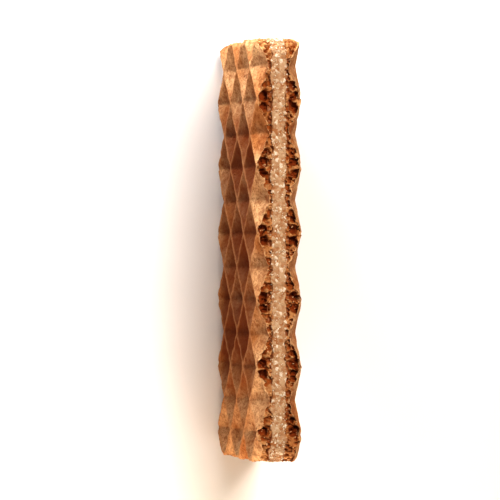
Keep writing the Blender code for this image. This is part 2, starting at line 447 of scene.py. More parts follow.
def rectangle_loop(ys, zs):
    """The border of a rectangular grid, anticlockwise from its low corner: y, z and a turn from 0 to 4."""
    ny, nz = len(ys), len(zs)
    share_y, share_z = np.arange(ny - 1) / (ny - 1), np.arange(nz - 1) / (nz - 1)
    y = np.concatenate([ys[:-1], np.full(nz - 1, ys[-1]), ys[:0:-1], np.full(nz - 1, ys[0])])
    z = np.concatenate([np.full(ny - 1, zs[0]), zs[:-1], np.full(ny - 1, zs[-1]), zs[:0:-1]])
    turn = np.concatenate([share_y, 1 + share_z, 2 + share_y, 3 + share_z])
    return y, z, turn


def loop_of_grid(numbers):
    """The border of a (y, z) array of point numbers, in the order of rectangle_loop."""
    return np.concatenate([numbers[:-1, 0], numbers[-1, :-1], numbers[:0:-1, -1], numbers[0, :0:-1]])


def spine_points(x):
    """Points in a row along the middle of a flat side at x, on which that side closes."""
    y = np.linspace(-STRAIGHT_Y, STRAIGHT_Y, SPINE_STEPS + 1)
    return np.stack([np.full_like(y, x), y, np.full_like(y, WIDTH / 2)], axis=-1)


def spine_loop(numbers):
    """(loop, turns) there and back along a spine's point numbers, so that zip_loops can use it."""
    count = len(numbers) - 1
    share = np.arange(1, count + 1) / count
    return np.concatenate([numbers[1:], numbers[-2::-1]]), np.concatenate([share, 2 + share])


def finer(values, times):
    """The same rising values with each step divided evenly."""
    return np.interp(np.arange((len(values) - 1) * times + 1) / times, np.arange(len(values)), values)


print("loop round a grid of 3 by 3:", loop_of_grid(np.arange(9).reshape(3, 3)).tolist())

# %% [markdown]
# ## From arrays to a mesh
#
# A mesh can be built point by point, but with a hundred thousand points that is slow. The
# arrays go in whole. The values that the finishes need later, such as how deep a point lies
# in the crumb, go in beside them as attributes with one number for each point.

# %% Mesh helpers
def number_points(*parts):
    """Running point numbers for several arrays of points, each in the shape of its array."""
    counts = [part[..., 0].size for part in parts]
    starts = np.cumsum(counts) - counts
    return [
        start + np.arange(count).reshape(part.shape[:-1])
        for start, count, part in zip(starts, counts, parts)
    ]


def point_values(numbers, *values):
    """One value for each point of several parts. A part gives an array or one number for all its points."""
    return np.concatenate([
        np.broadcast_to(np.ravel(value), part.size)
        for value, part in zip(values, numbers)
    ])


def add_mesh(name, points, faces, attributes, sharp_degrees):
    """A mesh object at the origin from arrays, smooth but for edges sharper than the given angle."""
    mesh = bpy.data.meshes.new(name)
    corners = np.concatenate([block.ravel() for block in faces])
    sizes = np.concatenate([np.full(len(block), block.shape[1]) for block in faces])
    mesh.vertices.add(len(points))
    mesh.vertices.foreach_set("co", points.astype(np.float32).ravel())
    mesh.loops.add(len(corners))
    mesh.loops.foreach_set("vertex_index", corners.astype(np.int32))
    mesh.polygons.add(len(sizes))
    mesh.polygons.foreach_set("loop_start", (np.cumsum(sizes) - sizes).astype(np.int32))
    mesh.update(calc_edges=True)
    mesh.validate()
    for label, values in attributes.items():
        layer = mesh.attributes.new(label, "FLOAT", "POINT")
        layer.data.foreach_set("value", values.astype(np.float32))
    mesh.shade_smooth()
    mesh.set_sharp_from_angle(angle=math.radians(sharp_degrees))
    piece = bpy.data.objects.new(name, mesh)
    bpy.context.scene.collection.objects.link(piece)
    print(f"{name}: {len(points)} points, {int((sizes - 2).sum())} triangles")
    return piece


example = number_points(np.zeros((2, 3)), np.zeros((3, 3)))
print("parts of two and three points are numbered", [numbers.tolist() for numbers in example])

# %% [markdown]
# ## Large bubbles
#
# Steam leaves bubbles in the batter, and the saw opens them. Balls could be cut out of a
# solid one by one, but thin walls between them would tear. So a list of centres and radii
# is made first, packed along each cut as wide as the crumb allows, by the rule that the
# solids follow too. A few smaller balls on each make its outline lobed.

# %% Large bubbles
LARGEST_BUBBLE = 1.2 * MM
SMALLEST_BUBBLE = 0.82 * MM
BUBBLE_TO_CRUMB = 0.37
BUBBLE_WALL = 0.3 * MM
LOBES = 4


def large_bubbles(seed):
    """(centres, radii) along the four cuts: the next bubble sits where its own radius clears the last one."""
    random = np.random.default_rng(seed)
    end = LENGTH / 2 - END_RAGGED / 2
    across, along = WIDTH - 2 * CORNER_RADIUS, LENGTH - 2 * CORNER_RADIUS
    runs = (
        ((-1, 0), (end - CORNER_RADIUS, WIDTH), (0, -1), along),
        ((1, 0), (CORNER_RADIUS - end, 0), (0, 1), along),
        ((0, 1), (end, CORNER_RADIUS), (-1, 0), across),
        ((0, 1), (-end, CORNER_RADIUS), (1, 0), across),
    )
    centres, radii = [], []
    for forward, start, inward, run in runs:
        last_edge = 0.0
        for travelled in np.arange(SMALLEST_BUBBLE, run, BUBBLE_WALL / 2):
            place = np.array(start) + np.array(forward) * travelled
            probe = place + np.array(inward) * LARGEST_BUBBLE / 2
            crumb = float(PIT_FLOOR + PIT_DEPTH * ridge_share(*probe))
            radius = min(LARGEST_BUBBLE, BUBBLE_TO_CRUMB * crumb)
            if radius < SMALLEST_BUBBLE or travelled - radius < last_edge + BUBBLE_WALL:
                continue
            last_edge = travelled + radius
            radius *= random.uniform(0.85, 1.15)
            centre = place + np.array(inward) * radius * random.uniform(0.1, 0.5)
            middle = np.array([crumb * random.uniform(0.4, 0.52), *centre])
            centres.append(middle)
            radii.append(radius)
            for _ in range(LOBES):
                centres.append(middle + radius * random.uniform(-1.0, 1.0, 3))
                radii.append(radius * random.uniform(0.3, 0.75))
    return np.array(centres), np.array(radii)


radii = large_bubbles(11)[1] / MM
print("bubbles and lobes in a half:", len(radii))
print("their radii in mm:", round(radii.min(), 2), "to", round(radii.max(), 2))

# %% [markdown]
# ## Open crumb
#
# Each point of a cut moves straight in until it meets the far wall of its bubble, so the
# band stays one unbroken sheet. Small bubbles are cell noise on top of the large ones. A
# thin skin along the patterned face always stays, as it does on a real waffle, and beside
# the filling the crumb crumbles a little more.

# %% Depth of the crumb
SKIN = (0.1 * MM, 0.32 * MM)
WOBBLES = ((1.1 * MM, 0.3 * MM, 0), (0.5 * MM, 0.12 * MM, 3))
SMALL_BUBBLES = ((1.15 * MM, 0.55, 0.85 * MM), (0.55 * MM, 0.45, 0.3 * MM))
ROUGH = (0.1 * MM, 0.35 * MM)
TORN = (0.12 * MM, 0.8 * MM)
CRUMBLED = (0.3 * MM, 0.9 * MM)
BESIDE_FILLING = (0.5 * MM, 0.0)


def crumb_depth(base, inward, below_skin, seed):
    """How far each point of a cut moves in.

    In a large bubble it is near + sqrt(r^2 - across^2), the way to the far wall. Small bubbles add to it.
    """
    warped = base
    for cell, reach, step in WOBBLES:
        swing = [smooth_noise(base, cell, seed + step + axis) for axis in range(3)]
        warped = warped + np.stack(swing, axis=-1) * reach
    depth = np.zeros(base.shape[:-1])
    for centre, radius in zip(*large_bubbles(seed)):
        offset = centre - warped
        near = np.einsum("...k,...k", offset, inward)
        away = np.einsum("...k,...k", offset, offset)
        far_wall = near + np.sqrt(np.maximum(radius**2 - away + near**2, 0.0))
        depth = np.maximum(depth, np.where(away < radius**2, far_wall, 0.0))
    for cell, fill, deepest in SMALL_BUBBLES:
        away, tone = cell_noise(warped, cell, seed + 7)
        size = fill * (0.7 + 0.6 * tone)
        depth += deepest * np.sqrt(np.clip(1.0 - (away / size) ** 2, 0.0, 1.0))
    depth += ROUGH[0] + uneven(base, ROUGH, seed + 9) + np.abs(uneven(base, TORN, seed + 10))
    by_filling = ease(base[..., 0], *BESIDE_FILLING)
    depth += by_filling * patches(base, *CRUMBLED, seed + 11, 0.1, 0.8)
    return depth * ease(below_skin, *SKIN)


print("skin in mm:", [round(depth / MM, 2) for depth in SKIN])

# %% [markdown]
# ## The grid of the patterned face
#
# A grid that ran anyhow across the pits would blunt their creases. This one is set out from
# the first pit, so that its lines run along the creases, and each cell is split along the
# diagonal that the ridge follows there. Coarse cells then give straight, crisp ridges.

# %% Face grid
FACE_STEP = PITCH / 40
NARROWEST_CELL = 0.4


def face_lines():
    """The grid's values of y and z: whole steps from the first pit's centre, and the two ends."""
    first = math.ceil((-LENGTH / 2 - FIRST_PIT_Y) / FACE_STEP + NARROWEST_CELL)
    last = math.floor((LENGTH / 2 - FIRST_PIT_Y) / FACE_STEP - NARROWEST_CELL)
    steps = FIRST_PIT_Y + FACE_STEP * np.arange(first, last + 1)
    ys = np.concatenate([[-LENGTH / 2], steps, [LENGTH / 2]])
    return ys, np.linspace(0.0, WIDTH, round(WIDTH / FACE_STEP) + 1)


def triangles(*corners):
    """Triangles from three arrays of point numbers."""
    return np.stack(corners, axis=-1).reshape(-1, 3)


def face_triangles(numbers, ys, zs):
    """Two triangles for each cell, split along the diagonal that ridges follow in that cell."""
    side_y = np.sign(np.sin(2 * np.pi * ((ys[:-1] + ys[1:]) / 2 - FIRST_PIT_Y) / PITCH))
    side_z = np.sign(np.sin(2 * np.pi * (zs[:-1] + zs[1:]) / 2 / PITCH))
    falling = (side_y[:, None] * side_z[None, :] > 0).ravel()[:, None]
    a, b = numbers[:-1, :-1], numbers[1:, :-1]
    c, d = numbers[1:, 1:], numbers[:-1, 1:]
    first = np.where(falling, triangles(a, b, d), triangles(a, b, c))
    second = np.where(falling, triangles(b, c, d), triangles(a, c, d))
    return np.concatenate([first, second])


ys, zs = face_lines()
print("face grid:", len(ys), "by", len(zs), "lines")

# %% [markdown]
# ## The cut band of a half
#
# The band runs once round the cookie, from the rim of the patterned face down into the
# filling. It has three points for each one of the face grid, because the crumb is much
# finer than the pits. A point that sinks into a bubble also follows the thickness at its
# new place, so nothing pushes through the patterned face.

# %% Cut band
BAND_FINENESS = 3
BAND_ROWS = 20
SUNK_INTO_FILLING = 0.45 * MM


def cut_band(ys, zs, seed):
    """(points, turns, below, depth) of the band, in rows from the patterned face down.

    A row lies an even share of the thickness below the skin, and each point moves in by the
    depth of the crumb. Points are (distance from the inner face, y, z).
    """
    loop_y, loop_z, turn = rectangle_loop(finer(ys, BAND_FINENESS), finer(zs, BAND_FINENESS))
    edge_y, edge_z = outline_places(loop_y, loop_z, seed)
    direction, _ = outward(edge_y, edge_z)
    down = np.arange(BAND_ROWS + 1)[:, None] / BAND_ROWS
    thickness = half_thickness(edge_y, edge_z, seed)
    below = down * (thickness + SUNK_INTO_FILLING)
    base = np.stack(np.broadcast_arrays(thickness - below, edge_y, edge_z), axis=-1)
    inward = np.stack([np.zeros_like(edge_y), -direction[:, 0], -direction[:, 1]], axis=-1)
    inward = np.broadcast_to(inward, base.shape)
    depth = crumb_depth(base, inward, below, seed)
    sunk_y = base[..., 1] + inward[..., 1] * depth
    sunk_z = base[..., 2] + inward[..., 2] * depth
    sunk_thickness = half_thickness(sunk_y, sunk_z, seed)
    height = sunk_thickness - down * (sunk_thickness + SUNK_INTO_FILLING)
    return np.stack([height, sunk_y, sunk_z], axis=-1), turn, below, depth


print("the band has", BAND_ROWS, "rows and reaches", round(SUNK_INTO_FILLING / MM, 2), "mm under the filling")

# %% [markdown]
# ## A waffle half
#
# Face, band and a flat back are sewn into one closed skin, and the back closes on a short
# row of points along its middle. The left half is the mirror image of the right one with
# bubbles of its own. A Mirror modifier would repeat each bubble, which a real cookie
# never does, so both halves are worked out and only the pits agree.

# %% Build a half
SHARP_IN_WAFFLE = 55
DEEPEST_SHADE = 1.6 * MM
SKIN_SHOWS = (0.02 * MM, 0.15 * MM)
SKIN_ENDS = (0.5 * MM, 0.3 * MM)
CROSSING_RIDGE = 0.94
CROSSING_WIDTH = 0.2


def waffle_half(name, side, seed):
    """(piece, band, below, crossings): the face grid, the band and a flat back, sewn together."""
    ys, zs = face_lines()
    inner_ys, inner_zs = ys[1:-1], zs[1:-1]
    grid_y, grid_z = outline_places(*np.meshgrid(inner_ys, inner_zs, indexing="ij"), seed)
    face = np.stack([half_thickness(grid_y, grid_z, seed), *wander(grid_y, grid_z, seed)], axis=-1)
    _, _, face_turn = rectangle_loop(inner_ys, inner_zs)
    band, band_turn, below, depth = cut_band(ys, zs, seed)
    spine = spine_points(-SUNK_INTO_FILLING)
    for part in (face, band, spine):
        part[..., 0] = side * (INNER_X + part[..., 0])

    numbers = number_points(face, band, spine)
    face_numbers, band_numbers, spine_numbers = numbers
    spine_round, spine_turn = spine_loop(spine_numbers)
    faces = [
        face_triangles(face_numbers, inner_ys, inner_zs),
        zip_loops(loop_of_grid(face_numbers), face_turn, band_numbers[0], band_turn),
        band_faces(band_numbers)[:, ::-1],
        zip_loops(spine_round, spine_turn, band_numbers[-1], band_turn)[:, ::-1],
    ]
    if side < 0:
        faces = [block[:, ::-1] for block in faces]

    band_y, band_z = band[..., 1], band[..., 2]
    ridge = ridge_share(grid_y, grid_z)
    # Painted shade: how much each point of the face is darkened towards its middle.
    painted_shade = painted_shade_share(grid_y, grid_z, seed)
    # Where the pale skin line shows: partly the skin's paler edge, partly a painted highlight.
    pale_skin_and_highlight = ease(below, *SKIN_SHOWS) * ease(below, *SKIN_ENDS)
    attributes = {
        "open_crumb": point_values(numbers, 0.0, ease(below, *SKIN), 1.0),
        "sunk": point_values(numbers, 0.0, depth / DEEPEST_SHADE, 0.0),
        "ridge": point_values(numbers, ridge, ridge_share(band_y, band_z), 0.0),
        "painted_shade": point_values(numbers, painted_shade, painted_shade_share(band_y, band_z, seed), 0.0),
        "pale_skin_and_highlight": point_values(numbers, 0.0, pale_skin_and_highlight, 0.0),
    }
    points = np.concatenate([part.reshape(-1, 3) for part in (face, band, spine)])
    piece = add_mesh(name, points, faces, attributes, SHARP_IN_WAFFLE)
    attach(piece, "root")
    in_row = np.abs(np.sin(2 * np.pi * grid_z / PITCH)) < CROSSING_WIDTH
    return piece, band, below, face[(ridge > CROSSING_RIDGE) & in_row]


left_half, left_band, left_below, left_crossings = waffle_half("waffle_left_baked", -1, 11)
right_half, right_band, right_below, right_crossings = waffle_half("waffle_right_baked", 1, 23)
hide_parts("waffle_left")
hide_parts("waffle_right")

# %% [markdown]
# ## The grains of the filling
#
# The filling is sawn with the halves, but its sugar breaks out instead of being cut, so its
# rim is a field of rounded lumps. Thousands of separate grains would be heavy and leave
# holes between them. Cell noise gives each grain a place and a tone on one sheet. The border
# wanders in and out over the crumb, as soft fat does, and outside it the sheet sinks away.

# %% Grains of the filling
GRAIN_CELL = 0.72 * MM
GRAIN_HEIGHT = 0.36 * MM
BORDER = INNER_X - 0.38 * MM
BORDER_WANDER = 0.4 * MM
BORDER_CELLS = ((1.6 * MM, 1.0), (0.7 * MM, 0.8))


def ball(distance, radius):
    """The height of a ball of radius 1 above its middle: sqrt(1 - (distance / radius)^2), and 0 outside."""
    return np.sqrt(np.clip(1.0 - (distance / radius) ** 2, 0.0, 1.0))


def grain_height(places, seed):
    """(height, tone) of balls round scattered points, with smaller ones between them."""
    away, tone = cell_noise(places, GRAIN_CELL, seed)
    small_away, small_tone = cell_noise(places, GRAIN_CELL * 0.5, seed + 3)
    lumps = ball(away, 0.85) * (0.55 + 0.45 * tone)
    small_lumps = ball(small_away, 0.8) * small_tone
    return GRAIN_HEIGHT * (0.75 * lumps + 0.3 * small_lumps), tone


def filling_border(y, z, across, seed):
    """How far from the middle the filling shows: a distance plus two noises, of their own on each side."""
    swings = [
        sum(share * smooth_noise(flat_places(y, z) + side, cell, seed + step)
            for step, (cell, share) in enumerate(BORDER_CELLS))
        for side in (-1.0, 1.0)
    ]
    return BORDER + BORDER_WANDER * np.where(across < 0, *swings)


print("the filling shows to", round(float(BORDER) / MM, 2), "mm from the middle, and wanders")

# %% [markdown]
# ## The sugar filling
#
# A band of rim goes once round the outline, and flat faces close it on both sides. It is
# wider than the gap between the halves, so its sides lie hidden in the crumb and no slit
# can open beside it.

# %% Build the filling
FILLING_STEP = 0.155 * MM
FILLING_ROWS = 30
FILLING_SPREAD = INNER_X + 0.4 * MM
RIM_BELOW_CUT = 0.26 * MM
RIM_SWELLS = (0.12 * MM, 3.0 * MM)
SINK_DEPTH = 1.0 * MM
SINK_STARTS = (-0.12 * MM, 0.26 * MM)
DEEPEST_GRAIN = 0.45 * MM
SHARP_IN_FILLING = 70


def sugar_filling(name, seed):
    """(piece, rim): the outline swept across the gap, each point moved in by the height of its grain."""
    ys = np.linspace(-LENGTH / 2, LENGTH / 2, round(LENGTH / FILLING_STEP) + 1)
    zs = np.linspace(0.0, WIDTH, round(WIDTH / FILLING_STEP) + 1)
    loop_y, loop_z, loop_turn = rectangle_loop(ys, zs)
    edge_y, edge_z = outline_places(loop_y, loop_z, seed)
    direction, _ = outward(edge_y, edge_z)
    across = np.linspace(-1.0, 1.0, FILLING_ROWS + 1)[:, None]
    rim = np.stack(np.broadcast_arrays(across * FILLING_SPREAD, edge_y, edge_z), axis=-1)
    height, tone = grain_height(rim, seed)
    past_border = np.abs(rim[..., 0]) - filling_border(edge_y, edge_z, across, seed + 5)
    height = height - RIM_BELOW_CUT - SINK_DEPTH * ease(past_border, *SINK_STARTS)
    height = np.minimum(height + uneven(rim, RIM_SWELLS, seed + 8), 0.0)
    rim[..., 1] += direction[:, 0] * height
    rim[..., 2] += direction[:, 1] * height

    spines = [spine_points(x) for x in (-FILLING_REACH, FILLING_REACH)]
    numbers = number_points(rim, *spines)
    rim_numbers, left_numbers, right_numbers = numbers
    left_round, spine_turn = spine_loop(left_numbers)
    right_round, _ = spine_loop(right_numbers)
    faces = [
        band_faces(rim_numbers),
        zip_loops(left_round, spine_turn, rim_numbers[0], loop_turn)[:, ::-1],
        zip_loops(right_round, spine_turn, rim_numbers[-1], loop_turn),
    ]
    attributes = {
        "grain_tone": point_values(numbers, tone, 0.0, 0.0),
        "grain_height": point_values(numbers, (height + DEEPEST_GRAIN) / DEEPEST_GRAIN, 0.0, 0.0),
    }
    points = np.concatenate([rim.reshape(-1, 3), *spines])
    piece = add_mesh(name, points, faces, attributes, SHARP_IN_FILLING)
    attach(piece, "root")
    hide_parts("sugar_filling")
    return piece, rim


filling, rim_points = sugar_filling("sugar_filling_layer", 37)

# %% [markdown]
# ## Little blocks
#
# Sugar crystals and crumbs are both small broken blocks. A particle system could scatter
# them, but its instances have to be made real before an export. Here each kind comes from
# arrays as one joined mesh: eight corners a block, bent and squashed at random, turned by a
# random unit quaternion and moved to its place.

# %% Scatter blocks
BLOCK = np.array(list(itertools.product((-1.0, 1.0), repeat=3)))
BLOCK_FACES = np.array([[0, 1, 3, 2], [4, 6, 7, 5], [0, 4, 5, 1], [2, 3, 7, 6], [0, 2, 6, 4], [1, 5, 7, 3]])
BLOCK_REACH = 1.75
BENT_CORNERS = (0.55, 1.0)
SHARP_IN_BLOCKS = 30


def random_turns(count, random):
    """Rotation matrices from random unit quaternions."""
    w, x, y, z = random.normal(size=(4, count))
    size = np.sqrt(w * w + x * x + y * y + z * z)
    w, x, y, z = w / size, x / size, y / size, z / size
    rows = [
        [1 - 2 * (y * y + z * z), 2 * (x * y - z * w), 2 * (x * z + y * w)],
        [2 * (x * y + z * w), 1 - 2 * (x * x + z * z), 2 * (y * z - x * w)],
        [2 * (x * z - y * w), 2 * (y * z + x * w), 1 - 2 * (x * x + y * y)],
    ]
    return np.moveaxis(np.array(rows), -1, 0)


def scatter_blocks(name, places, sizes, squash, random):
    """A block with bent corners at each place, of its own size, turned at random, all in one mesh."""
    count = len(places)
    bent = BLOCK[None] * random.uniform(*BENT_CORNERS, (count, 8, 3))
    shapes = bent * random.uniform(*squash, (count, 1, 3))
    turned = np.einsum("nij,nkj->nki", random_turns(count, random), shapes)
    points = places[:, None, :] + turned * sizes[:, None, None]
    faces = (BLOCK_FACES[None] + 8 * np.arange(count)[:, None, None]).reshape(-1, 4)
    tone = np.repeat(random.uniform(0.0, 1.0, count), 8)
    piece = add_mesh(name, points.reshape(-1, 3), [faces], {"grain_tone": tone}, SHARP_IN_BLOCKS)
    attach(piece, "root")
    return piece


def keep_inside(places, sizes):
    """Moves places in so that a block of the given size there stays in the cookie's box."""
    margin = BLOCK_REACH * sizes[:, None]
    return np.clip(places, low_corner + margin, high_corner - margin)


print("a block has", len(BLOCK), "corners and", len(BLOCK_FACES), "faces")

# %% [markdown]
# ## Sugar crystals
#
# The largest crystals catch the light on their own. Bump on the filling would darken and
# lighten it but cast no edge, so they are real blocks, half sunk in the rim. Most are small
# and a few are large, because the size comes from a squared random number.

# %% Sugar crystals
CRYSTAL_COUNT = 2600
CRYSTAL_SIZES = (0.13 * MM, 0.2 * MM)
CRYSTAL_SQUASH = (0.7, 1.0)
RIM_MARGIN = 4

random = np.random.default_rng(41)
rows = random.integers(RIM_MARGIN, rim_points.shape[0] - RIM_MARGIN, CRYSTAL_COUNT)
columns = random.integers(0, rim_points.shape[1], CRYSTAL_COUNT)
crystal_sizes = CRYSTAL_SIZES[0] + CRYSTAL_SIZES[1] * random.uniform(0.0, 1.0, CRYSTAL_COUNT) ** 2
crystal_places = keep_inside(rim_points[rows, columns], crystal_sizes)
crystals = scatter_blocks(
    "sugar_crystals", crystal_places, crystal_sizes, CRYSTAL_SQUASH, random
)

# %% [markdown]
# ## Loose crumbs
#
# The saw leaves crumbs in the open bubbles, on the filling and at the ends, and a few stick
# to the crossings of the ridges. They could be strewn over everything alike, but then the
# clean baked face would look dirty. So each kind of place gets its own number of them.

# %% Loose crumbs
CRUMB_COUNT = 900
STUCK_COUNT = 170
CRUMB_SIZES = (0.12 * MM, 0.3 * MM)
STUCK_LARGER = 0.04 * MM
CRUMB_SQUASH = (0.3, 1.0)
CLEAR_OF_SKIN = 0.25 * MM
END_STRIP = 1.2 * MM

open_crumb = np.concatenate([
    band[1:-1][below[1:-1] > CLEAR_OF_SKIN]
    for band, below in ((left_band, left_below), (right_band, right_below))
])
at_ends = open_crumb[np.abs(open_crumb[:, 1]) > LENGTH / 2 - END_STRIP]
rim_places = rim_points[RIM_MARGIN:-RIM_MARGIN].reshape(-1, 3)
crossings = np.concatenate([left_crossings, right_crossings])
sources = (
    (open_crumb, CRUMB_COUNT),
    (at_ends, CRUMB_COUNT // 4),
    (rim_places, CRUMB_COUNT // 4),
    (crossings, STUCK_COUNT),
)
crumb_places = np.concatenate([source[random.integers(0, len(source), count)] for source, count in sources])
crumb_sizes = CRUMB_SIZES[0] + CRUMB_SIZES[1] * random.uniform(0.0, 1.0, len(crumb_places)) ** 3
crumb_sizes[-STUCK_COUNT:] += STUCK_LARGER
crumb_places = keep_inside(crumb_places, crumb_sizes)
crumbs = scatter_blocks("loose_crumbs", crumb_places, crumb_sizes, CRUMB_SQUASH, random)

# %% [markdown]
# ## Node helpers
#
# A finish is a small graph of nodes. Written out in full, each node takes five or six lines,
# so these helpers add one node each and give back the socket with its result. An input is
# either another node's socket, which is linked, or a plain number or colour.

# %% Node helpers
def feed(tree, socket, value):
    """Links a socket to another node's result, or sets a number or a colour on it."""
    if isinstance(value, bpy.types.NodeSocket):
        tree.links.new(value, socket)
    elif isinstance(value, tuple):
        socket.default_value = (*value, 1.0)
    else:
        socket.default_value = value


def add_mix(tree, mask, under, over):
    """The colour under, covered by the colour over as far as the mask says."""
    node = tree.nodes.new("ShaderNodeMix")
    node.data_type = "RGBA"
    for number, value in ((0, mask), (6, under), (7, over)):
        feed(tree, node.inputs[number], value)
    return node.outputs[2]


def paint(tree, colour, layers):
    """Colours laid over one another in turn, each with its mask."""
    for mask, layer in layers:
        colour = add_mix(tree, mask, colour, layer)
    return colour


def add_math(tree, operation, first, second):
    """A math node on two sockets or numbers."""
    node = tree.nodes.new("ShaderNodeMath")
    node.operation = operation
    for socket, value in zip(node.inputs, (first, second)):
        feed(tree, socket, value)
    return node.outputs[0]


def add_range(tree, value, low, high, to_low=0.0, to_high=1.0):
    """A value mapped in a straight line from one range to another, and held inside it."""
    node = tree.nodes.new("ShaderNodeMapRange")
    numbers = {"Value": value, "From Min": low, "From Max": high, "To Min": to_low, "To Max": to_high}
    for label, number in numbers.items():
        feed(tree, node.inputs[label], number)
    return node.outputs["Result"]


def add_noise(tree, place, scale, detail=2.0, roughness=0.5):
    """Noise from 0 to 1 with so many swells per metre."""
    node = tree.nodes.new("ShaderNodeTexNoise")
    for label, value in (("Vector", place), ("Scale", scale), ("Detail", detail), ("Roughness", roughness)):
        feed(tree, node.inputs[label], value)
    return node.outputs["Fac"]


print("node helpers:", [helper.__name__ for helper in (feed, add_mix, paint, add_math, add_range, add_noise)])

# %% [markdown]
# A group is a small graph with sockets of its own, which many finishes can use. Copying the
# nodes into each would work, but a later change would have to be made in every copy.

# %% Group helpers
COLOUR, NUMBER, VECTOR = "NodeSocketColor", "NodeSocketFloat", "NodeSocketVector"


def new_group(name, inputs, outputs):
    """An empty node group with its sockets, and its input and output nodes."""
    group = bpy.data.node_groups.new(name, "ShaderNodeTree")
    for label, kind in inputs:
        group.interface.new_socket(label, in_out="INPUT", socket_type=kind)
    for label, kind in outputs:
        group.interface.new_socket(label, in_out="OUTPUT", socket_type=kind)
    return group, group.nodes.new("NodeGroupInput"), group.nodes.new("NodeGroupOutput")


def place_group(tree, group, **values):
    """A node that runs a group, with its inputs set by name, where _ stands for a space."""
    node = tree.nodes.new("ShaderNodeGroup")
    node.node_tree = group
    for label, value in values.items():
        feed(tree, node.inputs[label.replace("_", " ")], value)
    return node


print("colours, numbers and vectors travel through", COLOUR, NUMBER, VECTOR)

# %% [markdown]
# ## Specks and pinholes
#
# Baked batter is dotted with dark specks and with pinholes where steam came out. They are
# too fine for the mesh, so they are a pattern. Every finish here can use it, which is why
# it is a node group: pinholes are the middles of Voronoi cells where a slow noise allows
# them, specks are the peaks of a fine noise, and the grain for bump is another.

# %% Group: specks and pinholes
PINHOLE_RIM = (0.08, 0.3)
PINHOLE_PATCHES = 420.0
PINHOLE_PATCH_RIM = (0.52, 0.62)
SPECKS_PER_METRE = 1900.0
SPECK_RIM = (0.48, 0.66)
GRAIN_PER_METRE = 1500.0

specks_group, given, made = new_group(
    "specks_and_pinholes",
    [("Place", VECTOR), ("Per Metre", NUMBER)],
    [("Specks", NUMBER), ("Pinholes", NUMBER), ("Grain", NUMBER)],
)
spot = given.outputs["Place"]
cells = specks_group.nodes.new("ShaderNodeTexVoronoi")
feed(specks_group, cells.inputs["Vector"], spot)
feed(specks_group, cells.inputs["Scale"], given.outputs["Per Metre"])
holes = add_range(specks_group, cells.outputs["Distance"], *PINHOLE_RIM, 1.0, 0.0)
allowed = add_range(specks_group, add_noise(specks_group, spot, PINHOLE_PATCHES), *PINHOLE_PATCH_RIM)
feed(specks_group, made.inputs["Pinholes"], add_math(specks_group, "MULTIPLY", holes, allowed))
dots = add_noise(specks_group, spot, SPECKS_PER_METRE, 3.0, 0.65)
feed(specks_group, made.inputs["Specks"], add_range(specks_group, dots, *SPECK_RIM))
feed(specks_group, made.inputs["Grain"], add_noise(specks_group, spot, GRAIN_PER_METRE, 4.0, 0.6))
print("group", specks_group.name, "has", len(specks_group.nodes), "nodes")

# %% [markdown]
# ## Uneven browning
#
# Batter never browns evenly. One plain brown would look like plastic, and a painted image
# would stretch round the pits. The second group blends three browns: a slow noise goes from
# the middle tone to the pale one, and quicker patches add the dark one. Both groups read
# object coordinates, so a pattern runs on without a seam where a surface turns.

# %% Group: uneven browning
SLOW_BROWNING = (95.0, 3.0, 0.55)
QUICK_BROWNING = (700.0, 3.0, 0.6)

browning_group, given, made = new_group(
    "uneven_browning",
    [("Place", VECTOR), ("Pale", COLOUR), ("Middle", COLOUR), ("Dark", COLOUR)],
    [("Color", COLOUR)],
)
slow_patches = add_noise(browning_group, given.outputs["Place"], *SLOW_BROWNING)
quick_patches = add_noise(browning_group, given.outputs["Place"], *QUICK_BROWNING)
browns = paint(browning_group, given.outputs["Middle"], (
    (add_range(browning_group, slow_patches, 0.36, 0.6), given.outputs["Pale"]),
    (add_range(browning_group, quick_patches, 0.46, 0.68, 0.0, 0.6), given.outputs["Dark"]),
))
feed(browning_group, made.inputs["Color"], browns)
print("group", browning_group.name, "has", len(browning_group.nodes), "nodes")

# %% [markdown]
# ## Starting a finish
#
# All four finishes begin alike: a Principled shader with a roughness and a low gloss, since
# food that isn't wet hardly shines, and fine bump at the end. What the mesh knows about
# itself, such as how near a point is to a ridge, comes in through an Attribute node.

# %% Finish helpers
def finish(name, roughness, gloss):
    """A new material: its tree, its Principled shader and its object coordinates."""
    material = bpy.data.materials.new(name)
    material.use_nodes = True
    tree = material.node_tree
    shader = tree.nodes["Principled BSDF"]
    shader.inputs["Roughness"].default_value = roughness
    shader.inputs["Specular IOR Level"].default_value = gloss
    place = tree.nodes.new("ShaderNodeTexCoord").outputs["Object"]
    return material, tree, shader, place


def read_attribute(tree, name):
    """The number that the mesh stores under a name for each point."""
    node = tree.nodes.new("ShaderNodeAttribute")
    node.attribute_name = name
    return node.outputs["Fac"]


def add_bump(tree, shader, height, distance, strength):
    """Bump of a depth in metres, which tilts the shading but leaves the shape alone."""
    node = tree.nodes.new("ShaderNodeBump")
    for label, value in (("Height", height), ("Distance", distance), ("Strength", strength)):
        feed(tree, node.inputs[label], value)
    feed(tree, shader.inputs["Normal"], node.outputs["Normal"])


print("finishes start from", len(bpy.data.node_groups), "node groups")

# %% [markdown]
# ## The baked face
#
# The facets are tan near the cuts and ends and painted deep brown in the middle as painted
# shade. They are painted darkest down in the pits, which is painted shade in the hollows and
# partly browning. The crests of the ridges are a little lighter, partly paler batter and partly a
# painted highlight. Each of these is a colour laid over the last with a mask, so that any one can be changed
# without touching the others.

# %% Facet colours
FACET_BROWNS = {"Pale": (0.66, 0.385, 0.19), "Middle": (0.45, 0.18, 0.06), "Dark": (0.24, 0.055, 0.011)}
PAINTED_SHADE_BROWN = (0.145, 0.024, 0.005)
PIT_BROWNING_AND_SHADE = (0.12, 0.017, 0.003)
CREST_HIGHLIGHT_AND_PALE = (0.58, 0.28, 0.12)
DARK_SPECK = (0.22, 0.062, 0.016)
PINHOLE_SHADE = (0.18, 0.045, 0.010)


